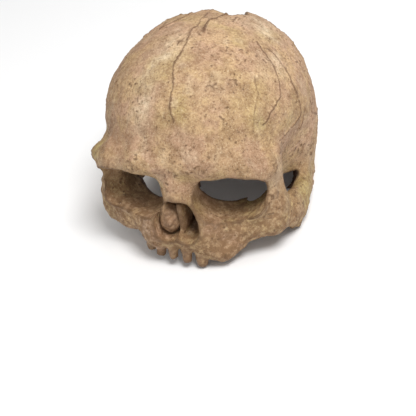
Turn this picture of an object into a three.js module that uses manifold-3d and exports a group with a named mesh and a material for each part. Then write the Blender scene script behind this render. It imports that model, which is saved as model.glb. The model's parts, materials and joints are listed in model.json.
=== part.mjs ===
// Hollow resin skull for an aquarium: an open-based cranium without a lower jaw, with open eye sockets,
// a nose opening, a slot above each cheek arch and a broken-out hole at the back of the crown.
// Millimetres. +X is the skull's left, +Y its back, +Z up. The origin is the middle of the base.

import * as THREE from 'three';
import { mergeVertices } from 'three/addons/utils/BufferGeometryUtils.js';
import { ConvexGeometry } from 'three/addons/geometries/ConvexGeometry.js';
import { RoundedBoxGeometry } from 'three/addons/geometries/RoundedBoxGeometry.js';
import Module from 'manifold-3d';

const wasm = await Module();
wasm.setup();

// Driving dimensions
const WALL = 4;                  // thickness of the hollow braincase
const JOINT = 0.3;               // gap between two neighbouring pieces
const OPEN_CRACK = 0.8;          // width of the cracks that stand open
const HEART = [0, 0, 48];        // point inside the braincase that its outer and inner faces are seen from
const HEAD_DETAIL = 11;          // rows of facets on each side of the head's icosahedron
const CAVITY_DETAIL = 7;
const FAR = 130;                 // no surface lies farther than this from its own centre
const SMALLEST_PIECE = 25;       // mm3: crumbs below this, left by crossing cracks, are swept away

// ---------------------------------------------------------------- rounded forms
// A form is a function of [x, y, z] that is negative inside and roughly measures distance outside.

const length3 = (x, y, z) => Math.hypot(x, y, z);

function ellipsoid(centre, radii) {
  return ([x, y, z]) => {
    const ux = (x - centre[0]) / radii[0];
    const uy = (y - centre[1]) / radii[1];
    const uz = (z - centre[2]) / radii[2];
    const near = length3(ux, uy, uz);
    const slope = length3(ux / radii[0], uy / radii[1], uz / radii[2]);
    return (near * (near - 1)) / Math.max(slope, 1e-6);
  };
}

function roundedBox(centre, half, radius) {
  return ([x, y, z]) => {
    const qx = Math.abs(x - centre[0]) - half[0] + radius;
    const qy = Math.abs(y - centre[1]) - half[1] + radius;
    const qz = Math.abs(z - centre[2]) - half[2] + radius;
    const outside = length3(Math.max(qx, 0), Math.max(qy, 0), Math.max(qz, 0));
    return outside + Math.min(Math.max(qx, qy, qz), 0) - radius;
  };
}

// A string of balls, each [x, y, z, radius], joined by tapering rods.
function ballChain(balls, blend) {
  const rods = balls.slice(1).map((end, i) => rod(balls[i], end));
  return rods.reduce((all, next) => union(all, next, blend));
}

function rod([ax, ay, az, ra], [bx, by, bz, rb]) {
  const dx = bx - ax;
  const dy = by - ay;
  const dz = bz - az;
  const squared = dx * dx + dy * dy + dz * dz;
  return ([x, y, z]) => {
    const along = ((x - ax) * dx + (y - ay) * dy + (z - az) * dz) / squared;
    const t = Math.min(Math.max(along, 0), 1);
    return length3(x - ax - t * dx, y - ay - t * dy, z - az - t * dz) - (ra + (rb - ra) * t);
  };
}

// Smooth joins and cuts: `blend` is the size of the fillet.
function softMin(a, b, blend) {
  const h = Math.max(blend - Math.abs(a - b), 0) / blend;
  return Math.min(a, b) - h * h * blend * 0.25;
}
const union = (f, g, blend) => (p) => softMin(f(p), g(p), blend);
const carve = (f, g, blend) => (p) => -softMin(-f(p), g(p), blend);
const shared = (f, g, blend) => (p) => -softMin(-f(p), -g(p), blend);
const grow = (f, by) => (p) => f(p) - by;

// The same form on both sides of the skull.
const bothSides = (f) => ([x, y, z]) => f([Math.abs(x), y, z]);

// A form made round the origin, then turned by `yaw` (about Z) and `roll` (about Y) and moved to `centre`.
function placed(f, centre, yaw, roll = 0) {
  const cy = Math.cos(THREE.MathUtils.degToRad(yaw));
  const sy = Math.sin(THREE.MathUtils.degToRad(yaw));
  const cr = Math.cos(THREE.MathUtils.degToRad(roll));
  const sr = Math.sin(THREE.MathUtils.degToRad(roll));
  return ([x, y, z]) => {
    const px = x - centre[0];
    const py = y - centre[1];
    const pz = z - centre[2];
    const qx = px * cy + py * sy;
    const qy = -px * sy + py * cy;
    return f([qx * cr + pz * sr, qy, -qx * sr + pz * cr]);
  };
}

// ---------------------------------------------------------------- the skull's own forms

function braincase() {
  const vault = ellipsoid([0, 10.6, 58], [61, 60.6, 59]);
  const forehead = ellipsoid([0, -12, 70], [55, 50, 48]);
  const rearCrown = ellipsoid([0, 27.5, 67], [52, 42, 46]);
  const nape = ellipsoid([0, 23, 34], [57, 47, 56]);
  const temple = bothSides(ellipsoid([78, -16, 42], [27, 26, 26]));
  const behindCheek = bothSides(ellipsoid([71, -14, 27], [26, 22, 20]));
  const whole = union(union(union(vault, forehead, 12), rearCrown, 6), nape, 12);
  return carve(carve(whole, temple, 14), behindCheek, 8);
}

function browAndCheeks() {
  const brow = ballChain([[0, -58, 66, 5.5], [22, -59, 66, 5.5], [40, -54, 64, 5.5], [52, -46, 60.5, 4.4]], 7);
  const socketBlock = placed(roundedBox([0, 0, 0], [23, 13, 17], 9), [28, -46, 46], -12);
  const outerRim = placed(roundedBox([0, 0, 0], [4.5, 9, 20], 4), [48.5, -38, 45], -16);
  const cheek = ballChain([[49, -41, 30, 9], [47, -42, 21, 8.5], [36, -48, 21, 9], [22, -54, 24, 10]], 6);
  return { brow, socketBlock, outerRim, cheek };
}

function muzzle() {
  const round = ellipsoid([0, -46, 23], [31, 26, 15]);
  const gum = roundedBox([0, -52, 20], [24, 17, 9], 8);
  const bridge = ballChain([[0, -55, 58, 6.5], [0, -59.5, 52, 6.5], [0, -63.5, 46.5, 5.5]], 4);
  const nostrilRim = ballChain([[8, -58, 46, 6], [15, -61, 32, 7], [13, -62, 18, 7]], 4);
  return union(union(round, gum, 7), union(bridge, nostrilRim, 7), 7);
}

// The broken ridge on the left of the upper jaw, where the back teeth are gone.
function toothlessRidge() {
  return ballChain([[16, -65, 11, 5.5], [24, -62, 9, 6], [33, -54, 10, 5.5]], 5);
}

function headForm() {
  const { brow, socketBlock, outerRim, cheek } = browAndCheeks();
  const upper = union(union(braincase(), bothSides(brow), 12), bothSides(socketBlock), 8);
  const face = union(bothSides(union(muzzle(), cheek, 7)), toothlessRidge(), 5);
  return union(union(upper, bothSides(outerRim), 5), face, 6);
}

function cavityForm() {
  const inside = grow(braincase(), -WALL);
  const behindFace = ellipsoid([0, -20, 32], [37, 25, 34]);
  const mouth = ellipsoid([0, -38, 2], [19, 22, 20]);
  const openBase = roundedBox([0, 16, -4], [36, 36, 20], 16);
  const betweenSockets = roundedBox([0, -54, 49], [7.5, 14, 13], 5);
  const hollow = union(union(union(inside, behindFace, 8), mouth, 6), openBase, 4);
  return carve(hollow, betweenSockets, 3);
}

// Each eye socket is a shallow bowl with a hole through its back. `side` is 1 for the skull's left.
function socketForm(side) {
  const bowlRound = ellipsoid([0, 0, 0], [22.5, 19, 15.5]);
  const bowl = shared(bowlRound, ([, , z]) => z - 13.5, 3);
  const holeWidth = side > 0 ? 18 : 15;
  const holeX = side > 0 ? 30 : -24.5;
  const holeRound = ellipsoid([0, 0, 0], [holeWidth, 34, 14.5]);
  const hole = shared(holeRound, ([, , z]) => z - 12, 3);
  const bowlPlaced = placed(bowl, [side * 32, -60, 46], side * -14, side * 6);
  const holePlaced = placed(hole, [holeX, -45, 46], side * -12, side * 6);
  return union(bowlPlaced, holePlaced, 4);
}

function noseOpeningForm() {
  const nostril = ellipsoid([5.4, -66, 29], [6.8, 34, 9]);
  const peak = ellipsoid([0, -66, 38], [7, 34, 7]);
  return bothSides(union(nostril, peak, 4));
}

// ---------------------------------------------------------------- solids

function toSolid(geometry) {
  const bare = geometry.clone();
  bare.deleteAttribute('normal');
  bare.deleteAttribute('uv');
  const merged = mergeVertices(bare, 1e-5);
  return new wasm.Manifold(new wasm.Mesh({
    numProp: 3,
    vertProperties: new Float32Array(merged.attributes.position.array),
    triVerts: new Uint32Array(merged.index.array),
  }));
}

// An icosahedron whose corners are moved along their rays from `centre` to the outermost face of the form.
function wrapped(form, centre, detail) {
  const geometry = new THREE.IcosahedronGeometry(1, detail);
  const position = geometry.attributes.position;
  const ray = new THREE.Vector3();
  for (let i = 0; i < position.count; i += 1) {
    ray.fromBufferAttribute(position, i).normalize();
    const at = (r) => form([centre[0] + ray.x * r, centre[1] + ray.y * r, centre[2] + ray.z * r]);
    let outside = FAR;
    while (outside > 1 && at(outside - 1) > 0) outside -= 1;
    let inside = outside - 1;
    for (let step = 0; step < 18; step += 1) {
      const middle = (inside + outside) / 2;
      if (at(middle) > 0) outside = middle;
      else inside = middle;
    }
    position.setXYZ(i, ...[ray.x, ray.y, ray.z].map((v, k) => centre[k] + v * inside));
  }
  return toSolid(geometry);
}

function hull(points) {
  return toSolid(new ConvexGeometry(points));
}

// An outline in the side view, [y, z] points, extruded across the skull from x = from to x = to.
function sidePrism(outline, from, to) {
  const shape = new THREE.Shape(outline.map(([y, z]) => new THREE.Vector2(y, z)));
  const geometry = new THREE.ExtrudeGeometry(shape, { depth: to - from, bevelEnabled: false });
  geometry.applyMatrix4(new THREE.Matrix4().set(0, 0, 1, from, 1, 0, 0, 0, 0, 1, 0, 0, 0, 0, 0, 1));
  return toSolid(geometry);
}

function block(from, to) {
  const size = to.map((v, k) => v - from[k]);
  const geometry = new THREE.BoxGeometry(...size);
  geometry.translate(...from.map((v, k) => v + size[k] / 2));
  return toSolid(geometry);
}

// The zygomatic arch: egg-shaped stations [x, y, z, half height], hulled in pairs along the arch.
function archSolid(stations) {
  const egg = ([x, y, z, half]) => {
    const ball = new THREE.IcosahedronGeometry(1, 1);
    ball.scale(half * 0.5, half * 0.8, half);
    ball.translate(x, y, z);
    const corners = mergeVertices(ball.deleteAttribute('normal').deleteAttribute('uv'), 1e-4);
    const position = corners.attributes.position;
    return Array.from({ length: position.count }, (_, i) => new THREE.Vector3().fromBufferAttribute(position, i));
  };
  const eggs = stations.map(egg);
  const links = eggs.slice(1).map((end, i) => hull([...eggs[i], ...end]));
  return links.reduce((all, next) => all.add(next));
}

// A crack through the bone: a thin blade along the surface points, reaching from `inner` to `outer` times
// their distance from the skull's heart.
function crack(points, width = JOINT, inner = 0.3, outer = 1.3) {
  const heart = new THREE.Vector3(...HEART);
  const spots = points.map((p) => new THREE.Vector3(...p));
  const stations = spots.map((spot, i) => {
    const before = spots[Math.max(i - 1, 0)];
    const after = spots[Math.min(i + 1, spots.length - 1)];
    const outward = spot.clone().sub(heart);
    const across = after.clone().sub(before).cross(outward).setLength(width / 2);
    return [inner, outer].flatMap((reach) => {
      const middle = heart.clone().addScaledVector(outward, reach);
      return [middle.clone().add(across), middle.clone().sub(across)];
    });
  });
  const links = stations.slice(1).map((end, i) => hull([...stations[i], ...end]));
  return links.reduce((all, next) => all.add(next));
}

const mirrored = (points) => points.map(([x, y, z]) => [-x, y, z]);

// ---------------------------------------------------------------- arches, slots and the broken crown

const LEFT_ARCH = [[50, -38, 19, 8], [55, -26, 15.5, 8.5], [55.5, -10, 12, 7.2], [54, 4, 11, 6.8], [51.5, 20, 13, 9]];
const RIGHT_ARCH = [[-50, -38, 22, 8], [-55, -25, 21.5, 6.8], [-55.5, -10, 18.5, 6.8], [-54, 4, 17, 6.8], [-51.5, 20, 15, 10]];

// Side-view outlines of the open space below each temple, down past the base.
const LEFT_OPENING = [[-28.5, -6], [15.5, -6], [15.5, 12], [12.5, 19], [8, 23], [0, 26], [-10, 28.5], [-17, 33], [-22, 43], [-28.5, 46.5]];
const RIGHT_OPENING = [[-28.5, -6], [15.5, -6], [15.5, 22], [2, 26.5], [-10, 31], [-20, 35.5], [-28.5, 38]];
const OPENING_FROM = 22;         // the side openings start this far out from the middle

// Ragged rim of the hole broken out of the back of the crown.
const CROWN_HOLE = [
  [12, 26, 117], [20, 36, 111], [16, 44, 107], [27, 46, 99], [28, 54, 91], [19, 63, 83], [8, 66, 85],
  [3, 68, 80], [-4, 67, 81], [-13, 63, 88], [-17, 59, 92], [-30, 51, 93], [-31, 40, 102], [-24, 33, 110],
  [-13, 27, 115], [-4, 35, 114],
];

// A plug that tapers to the skull's heart, with the rim's points as its outline.
function crownPlug() {
  const heart = new THREE.Vector3(...HEART);
  const reach = (p, r) => new THREE.Vector3(...p).sub(heart).multiplyScalar(r).add(heart);
  const middle = CROWN_HOLE.reduce((sum, p) => sum.add(new THREE.Vector3(...p)), new THREE.Vector3());
  middle.multiplyScalar(1 / CROWN_HOLE.length);
  const slices = CROWN_HOLE.map((p, i) => {
    const q = CROWN_HOLE[(i + 1) % CROWN_HOLE.length];
    const ends = [0.55, 1.35].flatMap((r) => [reach(p, r), reach(q, r), reach(middle.toArray(), r)]);
    return hull(ends);
  });
  return slices.reduce((all, next) => all.add(next));
}

// ---------------------------------------------------------------- teeth and the inside of the nose

// Root tip of each broken tooth stub, and its radius. They lean in towards the gum.
const TEETH = {
  tooth_right_canine: [-22, -60, 3, 4],
  tooth_right_lateral: [-14.5, -65, 3, 3.4],
  tooth_right_central: [-5.5, -68.5, 4.5, 3.1],
  tooth_left_central: [3, -69, 3, 3.3],
  tooth_left_lateral: [11.5, -67.5, 0, 4],
  tooth_left_canine: [21, -62, 3, 4],
};
const GUM_HEIGHT = 17;

function toothForm([x, y, z, radius]) {
  return rod([x, y, z + radius, radius * 0.85], [x * 0.97, y + 2, GUM_HEIGHT, radius]);
}

function toothSolid(tooth, extra = 0) {
  const [x, y, z] = tooth;
  return wrapped(grow(toothForm(tooth), extra), [x * 0.98, y + 1, (z + GUM_HEIGHT) / 2], 2);
}

const SEPTUM = { centre: [1.5, -57, 32], half: [1.6, 9, 10.5] };
const CONCHA = { centre: [-6.5, -60, 30], radii: [5.8, 7.5, 9] };

function septumSolid(extra = 0) {
  const sides = SEPTUM.half.map((h) => 2 * (h + extra));
  const geometry = new RoundedBoxGeometry(...sides, 1, 1.2);
  geometry.translate(...SEPTUM.centre);
  return toSolid(geometry);
}

function conchaSolid(extra = 0) {
  const radii = CONCHA.radii.map((r) => r + extra);
  return wrapped(ellipsoid(CONCHA.centre, radii), CONCHA.centre, 2);
}

// ---------------------------------------------------------------- the whole bone

function wholeSkull() {
  let bone = wrapped(headForm(), HEART, HEAD_DETAIL);
  bone = bone.subtract(wrapped(cavityForm(), HEART, CAVITY_DETAIL));
  bone = bone.subtract(sidePrism(LEFT_OPENING, OPENING_FROM, FAR));
  bone = bone.subtract(sidePrism(RIGHT_OPENING, -FAR, -OPENING_FROM));
  bone = bone.add(archSolid(LEFT_ARCH)).add(archSolid(RIGHT_ARCH));
  bone = bone.subtract(wrapped(socketForm(1), [29, -52, 47], 4));
  bone = bone.subtract(wrapped(socketForm(-1), [-28, -52, 47], 4));
  bone = bone.subtract(wrapped(noseOpeningForm(), [0, -62, 34], 4));
  bone = bone.subtract(crownPlug());
  bone = bone.subtract(septumSolid(JOINT)).subtract(conchaSolid(JOINT));
  for (const tooth of Object.values(TEETH)) bone = bone.subtract(toothSolid(tooth, JOINT));
  return bone.subtract(block([-FAR, -FAR, -FAR], [FAR, FAR, 0]));
}

// ---------------------------------------------------------------- cracks and sutures between the pieces

const CORONAL_TOP = [[-4, 4, 120], [0, 4, 120], [25, 6, 114], [40, 5, 104]];
const PLATE_EDGE = [[48, 4, 97], [54.5, -1, 86], [58, -2.5, 76], [58.5, -5, 68], [57, -9, 66], [54, -19, 65], [51, -29, 63.5]];
const BROW_END = [[55, -38, 60], [53, -48, 57], [40, -60, 54]];
const RIGHT_CORONAL = [[4, 4, 120], [-25, 5, 114], [-41, 4, 104], [-53, -1, 90], [-57, -6, 77], [-55, -15, 68], [-51, -29, 63.5]];

const FOREHEAD_CRACK = [
  [0, 40, 114], [-1, 8, 119], [-2, -9, 119], [-3.5, -23, 116], [-5, -32, 112], [-5.5, -41, 106], [-5, -51, 95],
  [-3, -57, 83], [0, -63, 68], [0, -62, 54],
];
const LEFT_SQUAMOSAL = [[57, -12, 67], [59.5, 1, 66], [61, 12, 60], [61, 21, 54], [58.5, 33, 49.5], [56, 39, 40], [51, 46, 22], [45, 50, -3], [38, 46, -14], [28, 36, -20]];
const RIGHT_SQUAMOSAL = [[-55, -18, 69], [-58, -4, 71], [-61, 6, 67], [-61.5, 16, 63]];
const RIGHT_LAMBDOID = [
  [-28, 54, 95], [-35, 47, 93], [-44, 37, 91], [-52, 30, 83], [-56, 27, 77], [-58.5, 22, 71], [-61, 14, 63], [-59.5, 7, 51.5],
  [-59, 9, 42], [-58, 9.2, 30], [-55, 9.2, 20],
];
const FRAGMENT_BOTTOM = [[12, 64, 90], [18, 66, 80], [24, 66, 72], [25, 67, 67], [34, 62.5, 65], [48, 52, 55], [57, 40, 45], [60, 32, 42]];
const FRAGMENT_TOP = [[25, 57, 95], [39, 48, 87.5], [47, 45, 77], [50, 47, 63], [47, 54, 53]];
const BACK_SEAM = [[3, 68, 84], [4, 72, 68], [6, 74, 46], [8, 71, 24], [12, 67, 8], [13, 66, -4], [11, 56, -16], [9, 44, -20]];
const ARCH_ROOT = 9;             // y of the joint between each arch and its temple
const ARCH_FRONT = -26;          // y of the joint between each arch and its cheek
const NASION = 55.5;             // height of the joint between forehead and nose
const NASAL_HALF = 6.5;          // half width of the nasal bones
const CHEEK_JOINT = 33;          // x of the joint between each cheekbone and the upper jaw
const WALL_JOINT = -28.5;        // y of the joint between each cheekbone's upright and the temple wall

function joints() {
  const sheets = [
    crack([...CORONAL_TOP, ...PLATE_EDGE, ...BROW_END]),
    crack([...RIGHT_CORONAL, ...mirrored(BROW_END)]),
    crack(FOREHEAD_CRACK),
    crack(LEFT_SQUAMOSAL),
    crack(RIGHT_SQUAMOSAL),
    crack(RIGHT_LAMBDOID, OPEN_CRACK),
    crack(FRAGMENT_BOTTOM, OPEN_CRACK),
    crack(FRAGMENT_TOP),
    crack(BACK_SEAM),
    block([38, ARCH_FRONT, -4], [64, ARCH_FRONT + JOINT, 29]),
    block([-64, ARCH_FRONT, -4], [-38, ARCH_FRONT + JOINT, 33]),
    block([46, ARCH_ROOT, -4], [66, ARCH_ROOT + JOINT, 21]),
    block([-66, ARCH_ROOT, -4], [-46, ARCH_ROOT + JOINT, 25]),
    block([-22, -80, NASION], [22, -28, NASION + JOINT]),
    block([NASAL_HALF, -80, 32], [NASAL_HALF + JOINT, -28, NASION + 0.1]),
    block([-NASAL_HALF - JOINT, -80, 32], [-NASAL_HALF, -28, NASION + 0.1]),
    block([-JOINT / 2, -80, -4], [JOINT / 2, -15, 43]),
  ];
  for (const side of [1, -1]) {
    const joint = side * CHEEK_JOINT;
    sheets.push(block([joint, -80, -4], [joint + JOINT, -20, 40]));
    const wall = side > 0 ? [36, 66] : [-66, -36];
    sheets.push(block([wall[0], WALL_JOINT, 27], [wall[1], WALL_JOINT + JOINT, 66]));
  }
  return sheets;
}

// ---------------------------------------------------------------- names and materials

// The middle of each bone's bounding box, used to name the pieces once the joints are cut.
const BONES = {
  frontal_left: [27, -30, 87],
  frontal_right: [-29, -30, 87],
  parietal_left: [30, 23, 82],
  parietal_right: [-30, 18, 91],
  parietal_fragment: [32, 55, 73],
  temporal_left: [48, 11, 33],
  temporal_right: [-51, -7, 47],
  occipital_left: [31, 55, 45],
  occipital_right: [-25, 40, 46],
  zygomatic_left: [45, -43, 36],
  zygomatic_right: [-45, -43, 37],
  arch_left: [54, -8, 13],
  arch_right: [-54, -8, 18],
  nasal_bones: [0, -56, 49],
  maxilla_left: [17, -52, 29],
  maxilla_right: [-17, -52, 29],
};

const LOOKS = {
  bone: { color: 0xb59a6c, roughness: 0.8, metalness: 0 },
  shaded_bone: { color: 0x9a8058, roughness: 0.85, metalness: 0 },
  tooth: { color: 0xa68a62, roughness: 0.7, metalness: 0 },
  rosy_bone: { color: 0xb08b70, roughness: 0.8, metalness: 0 },
};

const ROSY = ['nasal_concha', 'nasal_bones'];
const SHADED = ['occipital_left', 'occipital_right', 'maxilla_left', 'maxilla_right', 'nasal_septum'];

function lookOf(name) {
  if (name.startsWith('tooth')) return LOOKS.tooth;
  if (ROSY.includes(name)) return LOOKS.rosy_bone;
  return SHADED.includes(name) ? LOOKS.shaded_bone : LOOKS.bone;
}

function toMesh(solid, name) {
  const { vertProperties, triVerts } = solid.getMesh();
  const geometry = new THREE.BufferGeometry();
  geometry.setAttribute('position', new THREE.BufferAttribute(new Float32Array(vertProperties), 3));
  geometry.setIndex(new THREE.BufferAttribute(new Uint32Array(triVerts), 1));
  geometry.computeVertexNormals();
  const mesh = new THREE.Mesh(geometry, new THREE.MeshStandardMaterial(lookOf(name)));
  mesh.name = name;
  return mesh;
}

function middleOf(solid) {
  const { min, max } = solid.boundingBox();
  return min.map((low, k) => (low + max[k]) / 2);
}

function bonePieces() {
  let bone = wholeSkull();
  for (const sheet of joints()) bone = bone.subtract(sheet);
  const pieces = bone.decompose().filter((piece) => piece.volume() > SMALLEST_PIECE);
  if (pieces.length !== Object.keys(BONES).length) throw new Error(`${pieces.length} bones after the cuts`);
  const named = {};
  for (const piece of pieces) {
    const middle = middleOf(piece);
    const away = (name) => length3(...BONES[name].map((v, k) => v - middle[k]));
    const name = Object.keys(BONES).reduce((best, next) => (away(next) < away(best) ? next : best));
    if (named[name]) throw new Error(`two pieces are nearest to ${name}`);
    named[name] = piece;
  }
  return named;
}

const skull = new THREE.Group();
skull.name = 'skull';
for (const [name, solid] of Object.entries(bonePieces())) skull.add(toMesh(solid, name));
for (const [name, tooth] of Object.entries(TEETH)) skull.add(toMesh(toothSolid(tooth), name));
skull.add(toMesh(septumSolid(), 'nasal_septum'));
skull.add(toMesh(conchaSolid(), 'nasal_concha'));

export default skull;
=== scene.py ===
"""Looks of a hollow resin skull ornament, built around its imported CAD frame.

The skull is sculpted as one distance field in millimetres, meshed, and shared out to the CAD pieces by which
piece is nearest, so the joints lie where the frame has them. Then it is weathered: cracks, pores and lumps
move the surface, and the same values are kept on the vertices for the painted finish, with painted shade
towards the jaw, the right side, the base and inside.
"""

import json
import math

import bpy
import numpy as np
import openvdb
from mathutils import Matrix, Vector
from mathutils.bvhtree import BVHTree


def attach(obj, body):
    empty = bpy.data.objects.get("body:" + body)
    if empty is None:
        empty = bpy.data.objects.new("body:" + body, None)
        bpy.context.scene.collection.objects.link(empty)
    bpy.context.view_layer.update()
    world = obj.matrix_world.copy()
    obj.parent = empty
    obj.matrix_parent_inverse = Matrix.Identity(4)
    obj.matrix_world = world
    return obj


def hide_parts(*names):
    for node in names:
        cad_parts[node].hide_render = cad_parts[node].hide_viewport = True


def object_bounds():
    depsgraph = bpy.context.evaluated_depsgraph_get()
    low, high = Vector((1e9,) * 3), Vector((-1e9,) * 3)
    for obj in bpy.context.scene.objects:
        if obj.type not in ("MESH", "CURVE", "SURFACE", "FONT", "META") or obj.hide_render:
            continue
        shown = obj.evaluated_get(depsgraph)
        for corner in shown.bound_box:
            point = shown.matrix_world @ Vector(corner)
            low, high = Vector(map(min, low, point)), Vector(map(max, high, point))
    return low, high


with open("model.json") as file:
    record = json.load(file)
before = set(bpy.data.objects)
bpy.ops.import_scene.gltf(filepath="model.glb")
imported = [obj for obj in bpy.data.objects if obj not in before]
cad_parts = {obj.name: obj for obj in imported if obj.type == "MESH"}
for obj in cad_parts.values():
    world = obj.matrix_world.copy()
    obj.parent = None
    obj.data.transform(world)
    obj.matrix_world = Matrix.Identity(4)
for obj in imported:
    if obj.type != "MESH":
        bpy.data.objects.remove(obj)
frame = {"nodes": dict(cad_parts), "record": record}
cad_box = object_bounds()

# ------------------------------------------------------------------ driving dimensions, millimetres
# +X is the skull's left, +Y its back, +Z up, origin in the middle of the base, as in the frame.
DESIGN_LOW = (-60.9, -72.3, 0.0)        # the sculpt's own box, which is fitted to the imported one
DESIGN_HIGH = (60.9, 72.6, 119.4)
STEP = 0.6       # spacing of the sculpting grid
GRID_SPANS = [(-66, 66), (-77, 78), (-2, 124)]
BAND = 3.0                              # distances are kept this far on each side of the surface
FAR = 99.0                              # longest distance to a crack or a tooth root that is kept
WALL = 4.0                              # thickness of the hollow braincase
HEART = (0.0, 0.0, 48.0)                # cracks run along rays from this point
GUM_HEIGHT = 17.0                       # where the tooth stubs meet the gum
SOCKET_TOP = 13.5                       # the eye sockets are cut flat this far above their middle
OPENING_MIDDLE = -6.5                   # y of the middle of the open space under each temple
OPENING_HALF_LENGTH = 22
OPENING_FROM = 22                       # that space starts this far out from the skull's middle
ARCH_FLATTENING = (0.5, 1, 1)           # the cheek arches are half as thick as they are high
CROWN_REGION = [(-40, 36), (6, 80), (68, 130)]     # the part of the grid that the crown hole reaches
NOISE_CELLS = 32                        # side of the table of random values that value_noise repeats

# How far each kind of wear moves the surface.
STROKE_HEIGHT = 0.22
PIT_DEPTH = 0.38
RAISED_PLATE = 0.55

# Ragged rim of the hole in the back of the crown.
CROWN_HOLE = [
    (12, 26, 117), (20, 36, 111), (16, 44, 107), (27, 46, 99), (28, 54, 91), (19, 63, 83), (8, 66, 85),
    (3, 68, 80), (-4, 67, 81), (-13, 63, 88), (-17, 59, 92), (-30, 51, 93), (-31, 40, 102), (-24, 33, 110),
    (-13, 27, 115), (-4, 35, 114),
]

# Points along each cheek arch, and the half height there.
LEFT_ARCH = [
    (50, -38, 19, 8), (55, -26, 15.5, 8.5), (55.5, -10, 12, 8), (54, 4, 11, 6.8), (51.5, 20, 13, 9),
]
RIGHT_ARCH = [
    (-50, -38, 22, 8), (-55, -25, 21.5, 6.8), (-55.5, -10, 18.5, 6.8), (-54, 4, 17, 6.8),
    (-51.5, 20, 15, 10),
]

# Root tip of each broken tooth stub, and its radius.
TEETH = [
    (-22, -60, 3, 4), (-14.5, -65, 3, 3.4), (-5.5, -68.5, 4.5, 3.1),
    (3, -69, 3, 3.3), (11.5, -67.5, 0, 4), (21, -62, 3, 4),
]

# Cracks along the surface: points, width, depth.
CRACKS = {
    "forehead": ([
        (0, 37, 115), (0, 18, 118), (0.6, 0.6, 119), (0.4, -14, 119), (-0.6, -28, 116),
        (-1.7, -35, 112.5), (0.6, -43, 108), (0.6, -51, 100), (2.8, -56.5, 92),
    ], 0.45, 0.7),
    "forehead_short": ([(11, 26, 116), (6, 12.7, 118), (4.9, 4, 119), (7.2, -5, 119)], 0.8, 1.0),
    "plate_edge": ([
        (40, 5, 104), (48, 4, 97), (54.5, -1, 86), (58, -2.5, 76), (58.5, -5, 68), (57, -9, 66),
        (54, -19, 65), (51, -29, 63.5),
    ], 0.5, 0.6),
    "left_spur": ([(59.5, 1, 70), (57, -1, 57)], 0.5, 0.7),
    "fragment": ([
        (12, 64, 90), (18, 66, 80), (24, 66, 72), (25, 67, 67), (34, 62.5, 65), (48, 52, 55),
    ], 1.0, 2.2),
    "fragment_top": ([(28, 55, 92), (39, 48, 87.5), (47, 45, 77), (50, 47, 63)], 0.5, 0.6),
    "lambdoid": ([
        (-28, 54, 95), (-35, 47, 93), (-44, 37, 91), (-52, 30, 83), (-56, 27, 77), (-58.5, 22, 71),
        (-61, 14, 63), (-59.5, 7, 51.5), (-59, 9, 42), (-58, 9.2, 30),
    ], 0.8, 1.5),
    "back_seam": ([
        (3, 68, 84), (4, 72, 68), (6, 74, 46), (8, 71, 24), (12, 67, 8), (13, 66, -4),
    ], 0.6, 0.9),
    "squamosal": ([(61, 12, 60), (61, 21, 54), (58.5, 33, 49.5), (56, 39, 40)], 0.8, 0.5),
    "crown_right": ([(-19, 31, 112), (-30.5, 17.6, 109.4), (-36.4, 7.6, 107.3)], 0.5, 0.8),
    "crown_back": ([(-12, 28, 115), (-15.5, 14, 116), (-23, 3.6, 114.8)], 0.6, 0.9),
    "temple_line": ([
        (34, 5, 109), (36.6, 2.8, 107), (42, -1.6, 103.6), (45, -3.8, 100), (49.7, -9.3, 94),
        (51.6, -15, 89), (51.7, -22.6, 86), (49.4, -30.6, 83.5), (47, -36, 80),
    ], 0.5, 0.8),
    "temple_ridge": ([(40.3, -22.5, 102), (43, -29, 95), (43, -38, 88), (43.2, -42, 79)], 0.5, 0.3),
    "crown_fine": ([(17.5, 25, 114.5), (17.5, 15, 116)], 0.4, 0.5),
    "back_groove": ([(-15, 70.3, 68.7), (-18.4, 71, 60)], 0.5, 0.8),
    "base_left": ([(12, 67, 8), (14, 62, -2)], 0.8, 1.5),
    "base_right": ([(-14, 66, 8), (-14, 60, -2)], 0.8, 1.5),
}


# ------------------------------------------------------------------ distance forms on a grid
def length(*parts):
    return np.sqrt(sum(part * part for part in parts))


def ellipsoid(p, centre, radii):
    unit = [(a - c) / r for a, c, r in zip(p, centre, radii)]
    near = length(*unit)
    slope = length(*[u / r for u, r in zip(unit, radii)])
    return near * (near - 1) / np.maximum(slope, 1e-6)


def rounded_box(p, centre, half, radius):
    q = [np.abs(a - c) - h + radius for a, c, h in zip(p, centre, half)]
    outside = length(*[np.maximum(v, 0) for v in q])
    return outside + np.minimum(np.maximum(np.maximum(q[0], q[1]), q[2]), 0) - radius


def rod(p, start, end, flat=(1, 1, 1)):
    """A tapering rod from one ball (x, y, z, radius) to another, thinned along an axis by `flat`."""
    run = [b - a for a, b in zip(start[:3], end[:3])]
    away = [u - a for u, a in zip(p, start[:3])]
    t = np.clip(sum(u * v for u, v in zip(away, run)) / sum(v * v for v in run), 0, 1)
    gap = length(*[(u - t * v) / f for u, v, f in zip(away, run, flat)])
    return (gap - start[3] - (end[3] - start[3]) * t) * min(flat)


def union(a, b, blend):
    h = np.maximum(blend - np.abs(a - b), 0) / blend
    return np.minimum(a, b) - h * h * blend * 0.25


def carve(a, b, blend):
    return -union(-a, b, blend)


def shared(a, b, blend):
    return -union(-a, -b, blend)


def ball_chain(p, balls, blend, flat=(1, 1, 1)):
    form = rod(p, balls[0], balls[1], flat)
    for start, end in zip(balls[1:], balls[2:]):
        form = union(form, rod(p, start, end, flat), blend)
    return form


def turned(p, centre, yaw, roll=0.0):
    """Coordinates in a frame at `centre`, turned by yaw about Z and then roll about Y, in degrees."""
    x, y, z = [a - c for a, c in zip(p, centre)]
    cy, sy = math.cos(math.radians(yaw)), math.sin(math.radians(yaw))
    cr, sr = math.cos(math.radians(roll)), math.sin(math.radians(roll))
    x, y = x * cy + y * sy, -x * sy + y * cy
    return x * cr + z * sr, y, -x * sr + z * cr


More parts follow.
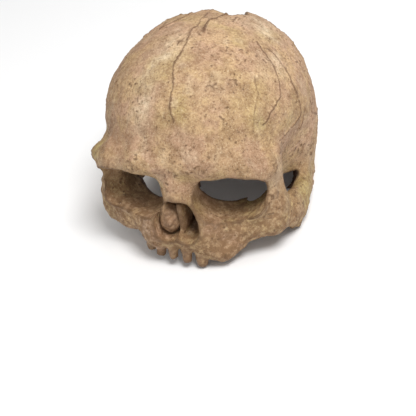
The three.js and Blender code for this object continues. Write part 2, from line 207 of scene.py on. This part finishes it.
def lumps(p, cell, seed):
    """Smooth random bumps between -1 and 1 on the grid, about `cell` mm apart."""
    rng = np.random.default_rng(seed)
    axes = [np.ravel(a) for a in p]
    counts = [int((a[-1] - a[0]) / cell) + 3 for a in axes]
    form = rng.uniform(-1, 1, counts).astype(np.float32)
    for k, axis in enumerate(axes):
        at = (axis - axis[0]) / cell
        low = np.floor(at).astype(int)
        share = at - low
        share = share * share * (3 - 2 * share)
        weights = np.zeros((len(axis), counts[k]), np.float32)
        weights[np.arange(len(axis)), low] = 1 - share
        weights[np.arange(len(axis)), low + 1] = share
        form = np.moveaxis(np.tensordot(weights, form, axes=(1, k)), 0, k)
    return form


# ------------------------------------------------------------------ the skull's forms
def braincase(p):
    x, y, z = p
    q = (np.abs(x), y, z)
    form = union(ellipsoid(p, (0, 10.6, 58), (61, 60.6, 59)), ellipsoid(p, (0, -12, 70), (55, 50, 48)), 12)
    form = union(form, ellipsoid(p, (0, 27.5, 67), (52, 42, 46)), 6)
    form = union(form, ellipsoid(p, (0, 23, 34), (57, 47, 56)), 12)
    form = carve(form, ellipsoid(q, (78, -16, 42), (27, 26, 26)), 14)
    return carve(form, ellipsoid(q, (71, -14, 27), (26, 22, 20)), 8)


def brow(q):
    return ball_chain(q, [(0, -58, 66, 5.5), (22, -59, 66, 5.5), (40, -54, 64, 5.5), (52, -46, 60.5, 4.4)], 7)


def muzzle(q):
    form = union(ellipsoid(q, (0, -46, 23), (31, 26, 15)), rounded_box(q, (0, -52, 20), (24, 17, 9), 8), 7)
    bridge = ball_chain(q, [(0, -55, 58, 6.5), (0, -59.5, 52, 6.5), (0, -63.5, 46.5, 5.5)], 4)
    rim = ball_chain(q, [(8, -58, 46, 6), (15, -61, 32, 7), (13, -62, 18, 7)], 4)
    return union(form, union(bridge, rim, 7), 7)


def toothless_ridge(p):
    return ball_chain(p, [(16, -65, 11, 5.5), (23, -62, 9.5, 5.5), (30, -56, 12, 5.5)], 5)


def socket_rim(q):
    lower_rim = [
        (12, -61, 42, 2.6), (18, -61, 33.5, 3), (31, -57, 29.5, 3.2), (44, -50, 32, 3.2), (51, -46, 41, 3),
    ]
    return ball_chain(q, lower_rim, 2)


def tooth_ridges(p):
    """The roots showing as soft ridges in the gum above each stub."""
    form = FAR
    for x, y, _, radius in TEETH:
        foot = (x, y + 1.6, GUM_HEIGHT - 4, radius * 0.9)
        tip = (x * 0.9, y + 4.5, 26, radius * 0.55)
        form = np.minimum(form, rod(p, foot, tip))
    return form


def cheek(q):
    return ball_chain(q, [(49, -41, 30, 9), (47, -42, 21, 8.5), (36, -48, 21, 9), (22, -54, 24, 10)], 6)


def head(p):
    x, y, z = p
    q = (np.abs(x), y, z)
    form = union(braincase(p), brow(q), 12)
    form = union(form, rounded_box(turned(q, (28, -46, 46), -12), (0, 0, 0), (23, 13, 17), 9), 8)
    form = union(form, rounded_box(turned(q, (48.5, -38, 45), -16), (0, 0, 0), (4.5, 9, 20), 4), 5)
    form = union(form, union(union(muzzle(q), cheek(q), 7), toothless_ridge(p), 5), 6)
    return union(form, union(socket_rim(q), tooth_ridges(p), 1), 2.5)


def cavity(p):
    form = union(braincase(p) + WALL, ellipsoid(p, (0, -20, 32), (37, 25, 34)), 8)
    form = union(form, ellipsoid(p, (0, -38, 2), (19, 22, 20)), 6)
    form = union(form, rounded_box(p, (0, 16, -4), (36, 36, 20), 16), 4)
    return carve(form, rounded_box(p, (0, -54, 49), (7.5, 14, 13), 5), 3)


def side_openings(p, ragged):
    """The open space under each temple wall, between it and the cheek arch."""
    x, y, z = p
    over_arch = np.minimum(25.0 - 0.27 * y, 25.0 - 0.9 * (y - 4))
    behind_cheek = np.minimum(46.5, 33.0 - 2.2 * (y + 17))
    left_top = np.maximum(over_arch, behind_cheek)
    right_top = 27.2 - 0.38 * y
    below = np.where(x > 0, z - left_top, z - right_top) + ragged
    between = np.abs(y - OPENING_MIDDLE) - OPENING_HALF_LENGTH + ragged
    return shared(shared(between, below, 5), OPENING_FROM - np.abs(x), 3)


def eye_sockets(p):
    x, y, z = p
    q = turned((np.abs(x), y, z), (32, -60, 46), -14, 6)
    bowl = shared(ellipsoid(q, (0, 0, 0), (22.5, 19, 15.5)), q[2] - SOCKET_TOP, 3)
    left = turned(p, (30, -45, 44.5), -12, 6)
    right = turned(p, (-24.5, -45, 44.5), 12, -6)
    left_hole = shared(ellipsoid(left, (0, 0, 0), (18.5, 34, 16)), left[2] - SOCKET_TOP, 3)
    right_hole = shared(ellipsoid(right, (0, 0, 0), (15.5, 34, 16)), right[2] - SOCKET_TOP, 3)
    return union(bowl, np.minimum(left_hole, right_hole), 4)


def nose_opening(p):
    q = (np.abs(p[0]), p[1], p[2])
    return union(ellipsoid(q, (6, -66, 29), (7.4, 34, 9.6)), ellipsoid(q, (0, -66, 38), (7, 34, 7)), 4)


def crown_hole(p, ragged):
    """Distance to the cone from the heart through the hole's rim, on the part of the grid given."""
    heart = np.array(HEART)
    rim = np.array(CROWN_HOLE, float) - heart
    middle = rim.mean(0)
    middle /= np.linalg.norm(middle)
    across = np.cross(middle, (0, 0, 1))
    across /= np.linalg.norm(across)
    upward = np.cross(across, middle)
    d = [a - h for a, h in zip(p, heart)]
    deep = np.maximum(sum(a * m for a, m in zip(d, middle)), 5.0)
    u = sum(a * m for a, m in zip(d, across)) / deep
    v = sum(a * m for a, m in zip(d, upward)) / deep
    rim_u = rim @ across / (rim @ middle)
    rim_v = rim @ upward / (rim @ middle)
    nearest = np.full(np.broadcast_shapes(u.shape, v.shape), 1e9, np.float32)
    inside = np.zeros(nearest.shape, bool)
    for k in range(len(rim)):
        ax, ay = rim_u[k - 1], rim_v[k - 1]
        bx, by = rim_u[k], rim_v[k]
        t = np.clip(((u - ax) * (bx - ax) + (v - ay) * (by - ay)) / ((bx - ax) ** 2 + (by - ay) ** 2), 0, 1)
        nearest = np.minimum(nearest, np.hypot(u - ax - t * (bx - ax), v - ay - t * (by - ay)))
        crosses = (ay > v) != (by > v)
        inside ^= crosses & (u < ax + (bx - ax) * (v - ay) / (by - ay + 1e-12))
    return np.where(inside, -nearest, nearest) * deep + ragged


def skull_field(p):
    x, y, z = p
    coarse = lumps(p, 9.0, 11)
    medium = lumps(p, 4.0, 12)
    fine = lumps(p, 2.0, 13)
    outer = head(p) + 0.35 * coarse + 0.22 * medium + 0.10 * fine
    form = carve(outer, cavity(p) + 0.4 * medium, 1.2)
    ragged = 0.9 * coarse + 0.7 * medium + 0.3 * fine
    form = carve(form, side_openings(p, ragged), 1.5)
    arches = union(
        ball_chain(p, LEFT_ARCH, 6, ARCH_FLATTENING),
        ball_chain(p, RIGHT_ARCH, 6, ARCH_FLATTENING), 2)
    lower_edge = np.clip((15 - z) / 10, 0, 1)
    form = union(form, arches + 0.3 * coarse + 0.25 * medium + lower_edge * ragged * 0.8, 5)
    form = carve(form, eye_sockets(p) + 0.25 * medium + 0.1 * fine, 1.8)
    form = carve(form, nose_opening(p) + 0.3 * medium, 1.5)
    form = union(form, rounded_box(p, (1.5, -57, 32), (1.6, 9, 10.5), 1.4) + 0.35 * medium, 1.5)
    form = union(form, ellipsoid(p, (-6.5, -61, 30), (6, 7.5, 9.3)) + 0.9 * medium + 0.6 * fine, 1.2)
    for tx, ty, tz, radius in TEETH:
        stub = rod(p, (tx, ty, tz + radius, radius * 0.85), (tx * 0.97, ty + 2, GUM_HEIGHT, radius))
        form = union(form, stub + 0.25 * fine, 1.6)
    i, j, k = (np.searchsorted(np.ravel(axis), span) for axis, span in zip(p, CROWN_REGION))
    part = (slice(*i), slice(*j), slice(*k))
    nearby = (x[i[0]:i[1]], y[:, j[0]:j[1]], z[:, :, k[0]:k[1]])
    form[part] = carve(form[part], crown_hole(nearby, ragged[part] * 0.8), 0.8)
    return shared(form, -z, 0.4)


def grid():
    """Sparse coordinates of the sculpting grid, and its low corner."""
    axes = [np.arange(low, high, STEP, dtype=np.float32) for low, high in GRID_SPANS]
    return np.meshgrid(*axes, indexing="ij", sparse=True), np.array([low for low, _ in GRID_SPANS], float)


# ------------------------------------------------------------------ surface of the sculpt
def sculpt_surface():
    """Vertices in millimetres and quads facing outward."""
    p, low = grid()
    form = skull_field(p)
    form = np.ascontiguousarray(np.clip(form, -BAND, BAND), dtype=np.float32)
    volume = openvdb.FloatGrid(background=BAND)
    volume.copyFromArray(form)
    points, quads = volume.convertToQuads(0.0)
    points = points * STEP + low
    return biggest_part(points, quads[:, ::-1].astype(np.int64))


def edges_of(quads):
    return np.concatenate([quads[:, [0, 1]], quads[:, [1, 2]], quads[:, [2, 3]], quads[:, [3, 0]]])


def biggest_part(points, quads):
    """Drops the crumbs that ragged edges leave loose."""
    edges = edges_of(quads)
    part = np.arange(len(points))
    while True:
        lowest = part.copy()
        np.minimum.at(lowest, edges[:, 0], part[edges[:, 1]])
        np.minimum.at(lowest, edges[:, 1], part[edges[:, 0]])
        lowest = lowest[lowest]
        if (lowest == part).all():
            break
        part = lowest
    keep = part == np.bincount(part).argmax()
    number = np.cumsum(keep) - 1
    return points[keep], number[quads[keep[quads[:, 0]]]]


class Surface:
    """The whole sculpted surface with what is known about each vertex."""

    def __init__(self, points, quads):
        self.points = points
        self.quads = quads
        self.edges = edges_of(quads)
        self.count = np.bincount(self.edges.ravel(), minlength=len(points))

    def average(self, values, rounds):
        """Each vertex takes the mean of itself and its neighbours, `rounds` times."""
        a, b = self.edges[:, 0], self.edges[:, 1]
        values = np.array(values, float)
        columns = values.reshape(len(values), -1)
        for _ in range(rounds):
            for k in range(columns.shape[1]):
                column = columns[:, k]
                total = np.bincount(a, column[b], len(column)) + np.bincount(b, column[a], len(column))
                columns[:, k] = 0.5 * column + 0.5 * total / self.count
        return columns.reshape(values.shape)

    def normals(self):
        corner = self.points[self.quads]
        face = np.cross(corner[:, 2] - corner[:, 0], corner[:, 3] - corner[:, 1])
        total = np.zeros_like(self.points)
        for k in range(4):
            for axis in range(3):
                total[:, axis] += np.bincount(self.quads[:, k], face[:, axis], len(total))
        return total / np.maximum(np.linalg.norm(total, axis=1, keepdims=True), 1e-9)


def value_noise(points, cell, seed):
    """Smooth noise between -1 and 1 at points, with features about `cell` mm wide."""
    table = np.random.default_rng(seed).uniform(-1, 1, (NOISE_CELLS,) * 3)
    at = points / cell + 100.5
    low = np.floor(at).astype(int)
    share = at - low
    share = share * share * (3 - 2 * share)
    total = np.zeros(len(points))
    for corner in np.ndindex(2, 2, 2):
        weight = np.prod(np.where(np.array(corner) == 1, share, 1 - share), axis=1)
        index = (low + corner) % NOISE_CELLS
        total += weight * table[index[:, 0], index[:, 1], index[:, 2]]
    return total


def smooth_step(values, low, high):
    t = np.clip((values - low) / (high - low), 0, 1)
    return t * t * (3 - 2 * t)


def near(points, centre, reach):
    """1 at the centre, fading to 0 about `reach` mm away; reach may differ by axis."""
    away = (points - np.array(centre, float)) / np.array(reach, float)
    return np.exp(-(away * away).sum(1))


def crack_distance(points, path):
    """Distance in mm from each point to the sheet of rays through the crack's path."""
    heart = np.array(HEART)
    away = points - heart
    radius = np.linalg.norm(away, axis=1)
    path = np.array(path, float) - heart
    path /= np.linalg.norm(path, axis=1, keepdims=True)
    nearest = np.full(len(points), FAR)
    for a, b in zip(path, path[1:]):
        start = radius[:, None] * a
        run = radius[:, None] * (b - a)
        t = ((away - start) * run).sum(1) / (run * run).sum(1)
        gap = np.linalg.norm(away - start - np.clip(t, 0, 1)[:, None] * run, axis=1)
        nearest = np.minimum(nearest, gap)
    return nearest


def weather_and_shade(surface, labels):
    """Moves the surface for cracks, pores and worn edges, and returns the painter's values per vertex, with
    painted shade among them.
    """
    points = surface.points
    normals = surface.normals()
    columns = tuple(points[:, k] for k in range(3))
    depth = -head(columns)
    # Painted shade: the inside of the hollow skull and the deep pockets of the face, where shade falls, are
    # marked to be painted near black.
    inside = 1 - smooth_step(cavity(columns), 0.4, 2.6)
    inside = np.maximum(inside, smooth_step(depth, 9, 20))
    outside = 1 - inside

    wander = np.stack([value_noise(points, 5.0, 21 + k) for k in range(3)], 1) * 0.9
    wander += np.stack([value_noise(points, 1.6, 31 + k) for k in range(3)], 1) * 0.45
    groove = np.zeros(len(points))
    sink = np.zeros(len(points))
    for path, width, deep in CRACKS.values():
        away = crack_distance(points + wander, path)
        broad = max(width, STEP)
        sink = np.maximum(sink, deep * np.exp(-(away / broad) ** 2))
        groove = np.maximum(groove, np.exp(-(away / (broad * 1.1)) ** 2) * min(1, 0.35 + deep / 2))
    groove *= 0.45 + 0.55 * smooth_step(value_noise(points, 6, 61), -0.4, 0.3)
    raised = surface.average((labels == "frontal_left").astype(float), 2)
    raised *= smooth_step(26 - crack_distance(points, CRACKS["plate_edge"][0]), 0, 24)

    striped = points * (1, 1, 0.28)
    back = smooth_step(points[:, 1], 10, 45)
    strokes = value_noise(striped, 2.6, 41) * back
    pits = smooth_step(value_noise(points, 1.5, 43) + 0.45 * value_noise(points, 9, 44), 0.6, 0.95)
    rough = value_noise(points, 1.3, 45) * 0.13 + value_noise(points, 3.1, 46) * 0.20
    move = rough + strokes * STROKE_HEIGHT - pits * PIT_DEPTH - sink * (0.4 + 0.6 * outside)
    move += raised * RAISED_PLATE
    surface.points = points + normals * move[:, None]

    hollow = ((surface.average(surface.points, 6) - surface.points) * surface.normals()).sum(1)
    wide = ((surface.average(surface.points, 40) - surface.points) * surface.normals()).sum(1)
    wash = smooth_step(hollow, 0.02, 0.2) * 0.7 + smooth_step(wide, 0.05, 0.8) * 0.85 + pits * 0.4
    worn = smooth_step(-hollow, 0.03, 0.25) * 0.6 + smooth_step(-wide, 0.3, 2.0) * 0.5
    # Painted shade: the lower face and the skull's right side at the front, and the base all round, are
    # marked to be painted darker.
    jaw_painted_shade = smooth_step(-points[:, 2], -62, -30) * 0.75
    right_painted_shade = smooth_step(-points[:, 0], 10, 60) * 0.35
    base_painted_shade = smooth_step(-points[:, 2], -40, -5) * 0.3
    low = (jaw_painted_shade + right_painted_shade) * smooth_step(-points[:, 1], 5, 40) + base_painted_shade
    below_brow = smooth_step(-points[:, 2], -70, -60)
    edge = smooth_step(-wide, 0.25, 1.3) * below_brow * smooth_step(-points[:, 1], 5, 30)
    return {
        # painted shade, kept as "low"
        "low": np.clip(low, 0, 1),
        "edge": edge,
        "groove": groove,
        "wash": np.clip(wash, 0, 1),
        "worn": np.clip(worn, 0, 1),
        "inside": inside,
        **tints(points),
    }


# Patches of each tint on the skull: centre, reach along each axis, strength.
CREAM_PATCHES = [
    ((-17, -44, 104), (7, 12, 22), 1.0),
    ((-8, -20, 117), (10, 16, 10), 0.8),
    ((30, 30, 108), (14, 14, 12), 0.9),
    ((52, -38, 50), (8, 7, 8), 0.8),
    ((-58, 5, 78), (10, 9, 22), 0.8),
    ((44, -5, 100), (8, 10, 10), 0.6),
]
MOSS_PATCHES = [
    ((-50, -50, 64), (14, 12, 6), 1.0),
    ((-46, -44, 34), (14, 14, 16), 0.9),
    ((46, -44, 30), (16, 16, 18), 0.9),
    ((56, -8, 18), (10, 30, 12), 1.0),
    ((-56, -8, 20), (10, 30, 12), 0.8),
    ((11, -66, 34), (4, 8, 12), 1.0),
    ((-12, -62, 44), (6, 8, 10), 0.7),
    ((40, -30, 90), (14, 18, 16), 0.7),
    ((10, -40, 100), (14, 14, 14), 0.4),
]
ROSE_PATCHES = [
    ((-6.5, -62, 30), (7, 8, 10), 1.0),
    ((20, -55, 70), (24, 12, 8), 0.7),
    ((0, -62, 52), (9, 8, 9), 0.7),
    ((0, 0, 118), (30, 20, 10), 0.6),
    ((-52, -44, 48), (8, 10, 12), 0.7),
    ((20, -62, 30), (9, 10, 10), 0.5),
]


def patches_at(points, patches):
    return sum(near(points, centre, reach) * strength for centre, reach, strength in patches)


def tints(points):
    """Where the painter's cream, moss and rose lie, 0 to 1."""
    cloudy = value_noise(points, 11, 51)
    streaky = value_noise(points * (1, 1, 0.45), 6, 52)
    cream = patches_at(points, CREAM_PATCHES)
    moss = patches_at(points, MOSS_PATCHES)
    rose = patches_at(points, ROSE_PATCHES)
    return {
        "cream": np.clip(cream * (0.75 + 0.5 * streaky) + 0.35 * smooth_step(streaky, 0.25, 0.9), 0, 1),
        "moss": np.clip(moss * (0.8 + 0.6 * cloudy) + 0.45 * smooth_step(cloudy, 0.2, 0.8), 0, 1),
        "rose": np.clip(rose * (0.8 - 0.4 * cloudy) + 0.55 * smooth_step(-cloudy, 0.1, 0.7), 0, 1),
    }


# ------------------------------------------------------------------ sharing out to the CAD pieces
def fitted(points):
    """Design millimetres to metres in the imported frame."""
    low, high = (np.array(corner) for corner in cad_box)
    design_low, design_high = np.array(DESIGN_LOW), np.array(DESIGN_HIGH)
    return low + (points - design_low) * (high - low) / (design_high - design_low)


def nearest_nodes(places):
    """Name of the CAD node whose surface is nearest to each place, in metres."""
    corners, faces, owners = [], [], []
    for name, node in frame["nodes"].items():
        start = len(corners)
        corners.extend(v.co.copy() for v in node.data.vertices)
        for polygon in node.data.polygons:
            faces.append([start + v for v in polygon.vertices])
            owners.append(name)
    tree = BVHTree.FromPolygons(corners, faces)
    return np.array([owners[tree.find_nearest(Vector(place))[2]] for place in places])


def piece_from(name, places, normals, quads, values):
    """One named object from some of the surface's quads."""
    used, corners = np.unique(quads, return_inverse=True)
    corners = corners.reshape(-1)
    mesh = bpy.data.meshes.new(name)
    mesh.vertices.add(len(used))
    mesh.vertices.foreach_set("co", places[used].astype(np.float32).ravel())
    mesh.loops.add(len(corners))
    mesh.loops.foreach_set("vertex_index", corners.astype(np.int32))
    mesh.polygons.add(len(quads))
    mesh.polygons.foreach_set("loop_start", np.arange(0, len(corners), 4, dtype=np.int32))
    mesh.update(calc_edges=True)
    mesh.validate()
    mesh.shade_smooth()
    mesh.normals_split_custom_set_from_vertices(normals[used].astype(np.float32))
    for key, value in values.items():
        attribute = mesh.attributes.new(key, "FLOAT", "POINT")
        attribute.data.foreach_set("value", value[used].astype(np.float32))
    piece = bpy.data.objects.new(name, mesh)
    bpy.context.collection.objects.link(piece)
    return piece


# ------------------------------------------------------------------ painted finish
OCHRE = (0.53, 0.350, 0.185)
ROSE = (0.47, 0.290, 0.180)
MOSS = (0.42, 0.335, 0.100)
CREAM = (0.80, 0.66, 0.46)
# Brown used both for the real stains and for painted shade.
STAIN_AND_SHADE = (0.205, 0.112, 0.052)
WASH = (0.105, 0.054, 0.024)
SPECK = (0.050, 0.023, 0.010)
CRACK_LINE = (0.125, 0.058, 0.028)
# Near-black brown for painted shade inside the skull and in the deep pockets.
INSIDE_SHADE = (0.085, 0.036, 0.019)

# A last thin tint, for the slots that have one: its share, and its colour.
SLOT_TINTS = {
    # For shaded_bone the tint is a little painted shade over the same bone.
    "shaded_bone": (0.06, STAIN_AND_SHADE),
    "rosy_bone": (0.12, ROSE),
    "tooth": (0.22, STAIN_AND_SHADE),
}
BONE_ROUGHNESS = (0.55, 0.82)
TOOTH_ROUGHNESS = (0.42, 0.66)
SPECULAR = 0.35
BUMP_STRENGTH = 0.75
BUMP_DISTANCE = 0.0007                  # metres


class Nodes:
    """Short calls for building one material's node tree."""

    def __init__(self, name):
        self.material = bpy.data.materials.new(name)
        self.material.use_nodes = True
        self.tree = self.material.node_tree
        self.shader = self.tree.nodes["Principled BSDF"]
        place = self.tree.nodes.new("ShaderNodeTexCoord")
        scale = self.tree.nodes.new("ShaderNodeMapping")
        scale.inputs["Scale"].default_value = (1000, 1000, 1000)
        self.link(place.outputs["Object"], scale.inputs["Vector"])
        self.millimetres = scale.outputs["Vector"]

    def link(self, source, target):
        self.tree.links.new(source, target)

    def set(self, socket, value):
        if isinstance(value, bpy.types.NodeSocket):
            self.link(value, socket)
        elif isinstance(value, tuple):
            socket.default_value = (*value, 1.0)
        else:
            socket.default_value = value

    def noise(self, cell, detail, rough, stretch=(1, 1, 1)):
        """Noise with features about `cell` mm wide, near 0.5 on average."""
        node = self.tree.nodes.new("ShaderNodeTexNoise")
        node.inputs["Scale"].default_value = 1.0 / cell
        node.inputs["Detail"].default_value = detail
        node.inputs["Roughness"].default_value = rough
        source = self.millimetres
        if stretch != (1, 1, 1):
            squeeze = self.tree.nodes.new("ShaderNodeMapping")
            squeeze.inputs["Scale"].default_value = stretch
            self.link(source, squeeze.inputs["Vector"])
            source = squeeze.outputs["Vector"]
        self.link(source, node.inputs["Vector"])
        return node.outputs["Fac"]

    def attribute(self, name):
        node = self.tree.nodes.new("ShaderNodeAttribute")
        node.attribute_name = name
        return node.outputs["Fac"]

    def math(self, operation, a, b):
        node = self.tree.nodes.new("ShaderNodeMath")
        node.operation = operation
        node.use_clamp = operation in ("MULTIPLY", "ADD")
        self.set(node.inputs[0], a)
        self.set(node.inputs[1], b)
        return node.outputs[0]

    def spread(self, value, low, high, to_low=0.0, to_high=1.0):
        """Maps low..high smoothly to to_low..to_high and clamps."""
        node = self.tree.nodes.new("ShaderNodeMapRange")
        node.interpolation_type = "SMOOTHSTEP"
        self.set(node.inputs["Value"], value)
        node.inputs["From Min"].default_value = low
        node.inputs["From Max"].default_value = high
        node.inputs["To Min"].default_value = to_low
        node.inputs["To Max"].default_value = to_high
        return node.outputs["Result"]

    def mix(self, share, a, b):
        node = self.tree.nodes.new("ShaderNodeMix")
        node.data_type = "RGBA"
        self.set(node.inputs["Factor"], share)
        self.set(node.inputs["A"], a)
        self.set(node.inputs["B"], b)
        return node.outputs["Result"]

    def painted(self, colour, paint, attribute, share):
        """The colour with paint over it where a vertex attribute says, times a share."""
        return self.mix(self.math("MULTIPLY", self.attribute(attribute), share), colour, paint)


def bone_paint(slot):
    """Painted resin bone: ochre with rose, moss and cream clouds, brown wash in hollows, and dark pores, with
    painted shade towards the jaw, the right side and the base, and near-black painted shade inside.
    """
    n = Nodes(slot + "_paint")
    clouds = n.noise(16, 3, 0.55)
    mottle = n.noise(3.4, 5, 0.62)
    freckle = n.noise(1.3, 6, 0.75)
    tone = n.noise(28, 2, 0.5)
    grain = n.noise(0.7, 3, 0.65)
    specks = n.noise(0.7, 1, 0.5)
    patches = n.noise(6.0, 2, 0.5)
    strokes = n.noise(1.1, 3, 0.6, (1, 1, 0.22))

    colour = n.mix(n.spread(clouds, 0.42, 0.60), OCHRE, ROSE)
    colour = n.painted(colour, ROSE, "rose", 0.75)
    colour = n.painted(colour, MOSS, "moss", 0.70)
    colour = n.painted(colour, CREAM, "cream", n.spread(mottle, 0.35, 0.65, 0.35, 0.95))
    colour = n.painted(colour, CREAM, "worn", n.spread(freckle, 0.3, 0.6, 0.25, 0.6))
    # Thin coats, one over the other: paint, texture, the range it fades over, and its share at each end.
    coats = [
        (STAIN_AND_SHADE, tone, 0.38, 0.62, 0.0, 0.28),
        (STAIN_AND_SHADE, patches, 0.45, 0.66, 0.0, 0.36),
        (STAIN_AND_SHADE, mottle, 0.48, 0.66, 0.0, 0.50),
        (STAIN_AND_SHADE, freckle, 0.48, 0.62, 0.0, 0.58),
        (CREAM, freckle, 0.30, 0.44, 0.45, 0.0),
        (STAIN_AND_SHADE, strokes, 0.54, 0.68, 0.0, 0.28),
        (CREAM, grain, 0.30, 0.46, 0.35, 0.0),
    ]
    for paint, texture, low, high, to_low, to_high in coats:
        colour = n.mix(n.spread(texture, low, high, to_low, to_high), colour, paint)
    # Painted shade: darker towards the jaw, the skull's right side at the front and the base, broken up by
    # the mottle.
    colour = n.painted(colour, STAIN_AND_SHADE, "low", n.spread(mottle, 0.38, 0.58, 0.05, 0.85))
    colour = n.painted(colour, MOSS, "edge", n.spread(clouds, 0.35, 0.6, 0.55, 0.95))
    colour = n.painted(colour, WASH, "wash", 0.72)
    speckled = n.math("MULTIPLY", n.spread(specks, 0.66, 0.74), n.spread(patches, 0.42, 0.62, 0.15, 0.80))
    colour = n.mix(speckled, colour, SPECK)
    colour = n.painted(colour, CRACK_LINE, "groove", n.spread(freckle, 0.35, 0.6, 0.55, 0.95))
    # Painted shade: the inside of the hollow skull and the deep pockets are painted near-black brown.
    colour = n.painted(colour, INSIDE_SHADE, "inside", n.spread(mottle, 0.3, 0.7, 0.84, 0.97))
    if slot in SLOT_TINTS:
        share, tint = SLOT_TINTS[slot]
        colour = n.mix(share, colour, tint)
    n.link(colour, n.shader.inputs["Base Color"])

    roughness = TOOTH_ROUGHNESS if slot == "tooth" else BONE_ROUGHNESS
    n.link(n.spread(mottle, 0.3, 0.7, *roughness), n.shader.inputs["Roughness"])
    n.shader.inputs["Specular IOR Level"].default_value = SPECULAR
    height = n.math("ADD", n.math("MULTIPLY", grain, 0.35), n.math("MULTIPLY", freckle, 0.5))
    height = n.math("SUBTRACT", height, n.math("MULTIPLY", speckled, 0.5))
    bump = n.tree.nodes.new("ShaderNodeBump")
    bump.inputs["Strength"].default_value = BUMP_STRENGTH
    bump.inputs["Distance"].default_value = BUMP_DISTANCE
    n.link(height, bump.inputs["Height"])
    n.link(bump.outputs["Normal"], n.shader.inputs["Normal"])
    return n.material


# ------------------------------------------------------------------ the pieces
def build_skull():
    surface = Surface(*sculpt_surface())
    middles = fitted(surface.points[surface.quads].mean(1))
    owners = nearest_nodes(middles)
    labels = np.empty(len(surface.points), owners.dtype)
    labels[surface.quads.ravel()] = np.repeat(owners, 4)
    values = weather_and_shade(surface, labels)
    places = fitted(surface.points)
    normals = surface.normals()
    slots = {part["node"]: part["material_slot"] for part in frame["record"]["subparts"]}
    paints = {slot: bone_paint(slot) for slot in sorted(set(slots.values()))}
    for name in sorted(frame["nodes"]):
        quads = surface.quads[owners == name]
        piece = piece_from(name + "_bone", places, normals, quads, values)
        piece.data.materials.append(paints[slots[name]])
        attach(piece, "root")
        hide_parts(name)


# ------------------------------------------------------------------ floor, light and camera
FLOOR_SIZE = 6                          # metres
FLOOR_COLOUR = (0.86, 0.86, 0.86, 1)
FLOOR_ROUGHNESS = 0.9
WORLD_LIGHT = 0.55

# Name, place from the middle of the skull in metres, side of the square lamp in metres, and watts.
LAMPS = [
    ("key", (0.34, -0.30, 0.80), 0.36, 7.9),
    ("fill", (-0.7, -0.4, 0.35), 0.6, 0.6),
    ("rim", (0.2, 0.8, 0.6), 0.6, 2.0),
]


def studio():
    low, high = cad_box
    bpy.ops.mesh.primitive_plane_add(size=FLOOR_SIZE, location=(0, 0, low.z))
    floor = bpy.context.object
    floor.name = "floor"
    paper = bpy.data.materials.new("floor_paper")
    paper.use_nodes = True
    shader = paper.node_tree.nodes["Principled BSDF"]
    shader.inputs["Base Color"].default_value = FLOOR_COLOUR
    shader.inputs["Roughness"].default_value = FLOOR_ROUGHNESS
    floor.data.materials.append(paper)

    world = bpy.data.worlds.new("studio")
    bpy.context.scene.world = world
    world.use_nodes = True
    sky = world.node_tree.nodes["Background"]
    sky.inputs["Color"].default_value = (1, 1, 1, 1)
    sky.inputs["Strength"].default_value = WORLD_LIGHT

    centre = (low + high) / 2
    for name, place, side, watts in LAMPS:
        light = bpy.data.lights.new(name, "AREA")
        light.energy = watts
        light.size = side
        lamp = bpy.data.objects.new(name, light)
        lamp.location = centre + Vector(place)
        lamp.rotation_euler = (centre - lamp.location).to_track_quat("-Z", "Y").to_euler()
        bpy.context.collection.objects.link(lamp)


CAMERA_AZIMUTH = 22.7                   # degrees to the skull's left of straight ahead
CAMERA_HEIGHT = 31.3                    # degrees above the horizon
CAMERA_ROLL = -8.5
CAMERA_DISTANCE = 0.70                  # metres
CAMERA_LENS = 100.6                     # mm
CAMERA_SENSOR = 36                      # mm
CAMERA_CIRCLES = (0.0, 0.0, 0.055)      # metres
CIRCLED_RIGHT = 0.0008                  # where that point lies in the view: slopes from the view's middle
CIRCLED_UP = 0.0727


def camera():
    """The camera circles CAMERA_CIRCLES, and is then swung so that the point isn't in the view's middle."""
    a, e, r = (math.radians(v) for v in (CAMERA_AZIMUTH, CAMERA_HEIGHT, CAMERA_ROLL))
    back = Vector((math.sin(a) * math.cos(e), -math.cos(a) * math.cos(e), math.sin(e)))
    right = Vector((math.cos(a), math.sin(a), 0))
    up = back.cross(right)
    rolled_right = right * math.cos(r) + up * math.sin(r)
    rolled_up = up * math.cos(r) - right * math.sin(r)
    facing = Matrix((rolled_right, rolled_up, back)).transposed()
    swing = Vector((0, 0, -1)).rotation_difference(Vector((CIRCLED_RIGHT, CIRCLED_UP, -1)).normalized())
    facing = facing @ swing.to_matrix().inverted()
    lens = bpy.data.cameras.new("camera")
    lens.sensor_width = CAMERA_SENSOR
    lens.lens = CAMERA_LENS
    lens.clip_start = 0.02
    lens.clip_end = 20
    eye = bpy.data.objects.new("camera", lens)
    stand = Vector(CAMERA_CIRCLES) + back * CAMERA_DISTANCE
    eye.matrix_world = Matrix.Translation(stand) @ facing.to_4x4()
    bpy.context.collection.objects.link(eye)
    bpy.context.scene.camera = eye


build_skull()
studio()
camera()
bpy.context.scene.view_settings.view_transform = "Standard"
